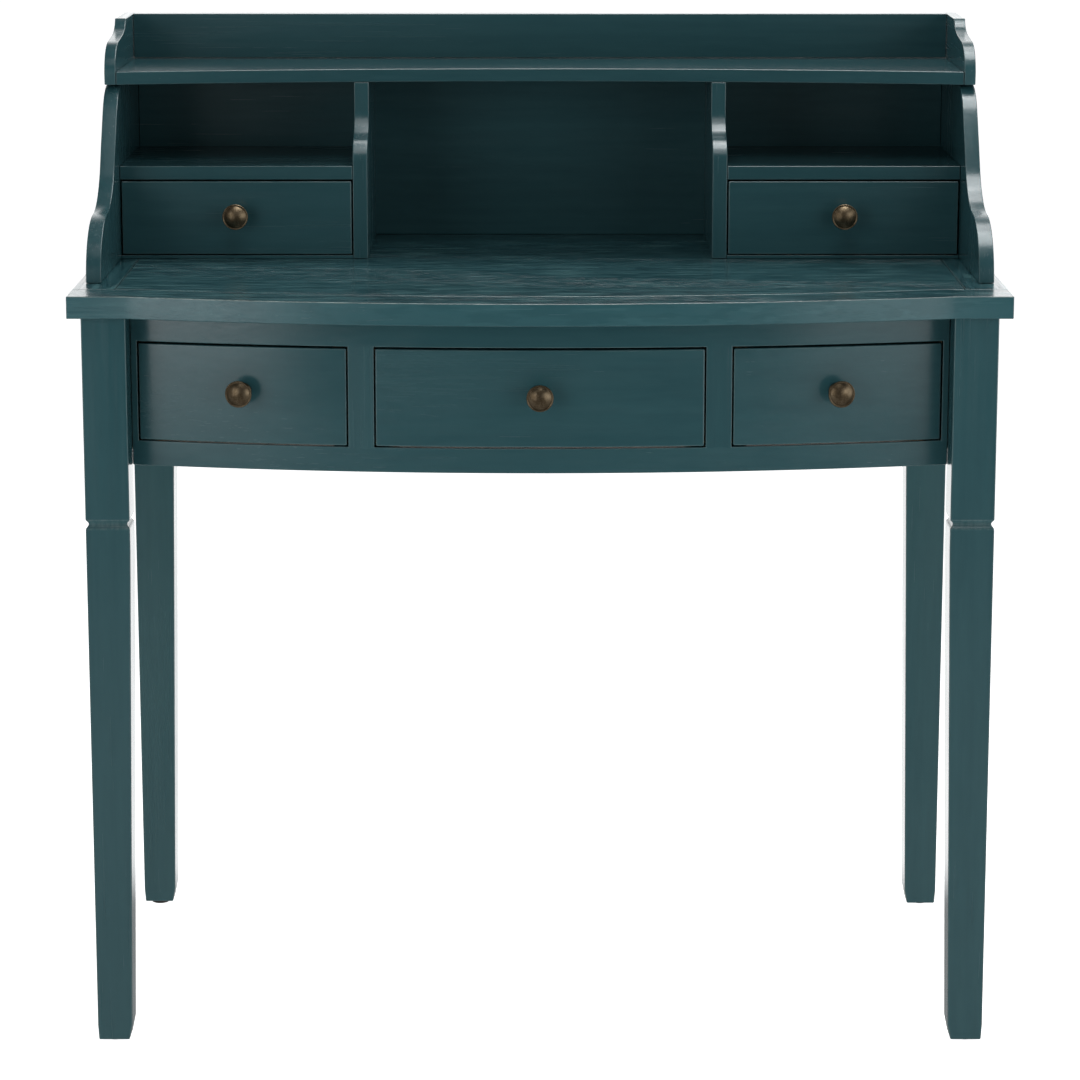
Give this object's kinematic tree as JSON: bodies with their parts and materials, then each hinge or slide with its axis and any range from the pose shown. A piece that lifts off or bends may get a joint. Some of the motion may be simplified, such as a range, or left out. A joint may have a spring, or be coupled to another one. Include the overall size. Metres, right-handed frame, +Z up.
{
  "type": "secretary desk",
  "caption": "Painted bow-front secretary desk on tapered legs, with drawers in the apron and a hutch of small drawers and open compartments under a galleried shelf.",
  "frame": {"origin": "on the floor, under the middle of the desk's overall box", "axes": "+Z up, the sitter's side faces -Y, +X to the sitter's right as they look at the desk"},
  "size_m": [0.861, 0.51, 0.941],
  "materials": {
    "paint": "satin blue-green paint over open-grained wood",
    "bare_wood": "unpainted, lightly sealed light wood",
    "bronze": "antique bronze, satin",
    "glide_plastic": "dark brown nail-on glide"
  },
  "bodies": {
    "desk": {"desktop_field": "paint", "desktop_front_border": "paint", "desktop_left_border": "paint", "desktop_right_border": "paint", "leg_front_left": "paint", "leg_front_right": "paint", "leg_back_left": "paint", "leg_back_right": "paint", "glide_front_left": "glide_plastic", "glide_front_right": "glide_plastic", "glide_back_left": "glide_plastic", "glide_back_right": "glide_plastic", "apron_top_rail": "paint", "apron_bottom_rail": "paint", "apron_stile_left": "paint", "apron_stile_right": "paint", "apron_end_stile_left": "paint", "apron_end_stile_right": "paint", "side_apron_left": "paint", "side_apron_right": "paint", "back_apron": "paint", "runner_inner_left": "bare_wood", "runner_inner_right": "bare_wood", "runner_outer_left": "bare_wood", "runner_outer_right": "bare_wood", "corner_block_left": "bare_wood", "corner_block_right": "bare_wood", "hutch_side_left": "paint", "hutch_side_right": "paint", "hutch_divider_left": "paint", "hutch_divider_right": "paint", "hutch_floor_left": "paint", "hutch_floor_right": "paint", "hutch_half_shelf_left": "paint", "hutch_half_shelf_right": "paint", "hutch_top_shelf": "paint", "hutch_back_panel": "paint", "gallery_back": "paint", "gallery_side_left": "paint", "gallery_side_right": "paint"},
    "drawer_left": {"drawer_left_front": "paint", "drawer_left_box": "bare_wood", "drawer_left_bottom": "bare_wood", "drawer_left_knob": "bronze"},
    "drawer_center": {"drawer_center_front": "paint", "drawer_center_box": "bare_wood", "drawer_center_bottom": "bare_wood", "drawer_center_knob": "bronze"},
    "drawer_right": {"drawer_right_front": "paint", "drawer_right_box": "bare_wood", "drawer_right_bottom": "bare_wood", "drawer_right_knob": "bronze"},
    "drawer_upper_left": {"drawer_upper_left_front": "paint", "drawer_upper_left_box": "bare_wood", "drawer_upper_left_bottom": "bare_wood", "drawer_upper_left_knob": "bronze"},
    "drawer_upper_right": {"drawer_upper_right_front": "paint", "drawer_upper_right_box": "bare_wood", "drawer_upper_right_bottom": "bare_wood", "drawer_upper_right_knob": "bronze"}
  },
  "joints": [
    {"name": "drawer_left_slide", "type": "slide", "parent": "desk", "child": "drawer_left", "axis": [0, -1, 0], "range_m": [0, 0.28]},
    {"name": "drawer_center_slide", "type": "slide", "parent": "desk", "child": "drawer_center", "axis": [0, -1, 0], "range_m": [0, 0.28]},
    {"name": "drawer_right_slide", "type": "slide", "parent": "desk", "child": "drawer_right", "axis": [0, -1, 0], "range_m": [0, 0.28]},
    {"name": "drawer_upper_left_slide", "type": "slide", "parent": "desk", "child": "drawer_upper_left", "axis": [0, -1, 0], "range_m": [0, 0.12]},
    {"name": "drawer_upper_right_slide", "type": "slide", "parent": "desk", "child": "drawer_upper_right", "axis": [0, -1, 0], "range_m": [0, 0.12]}
  ]
}
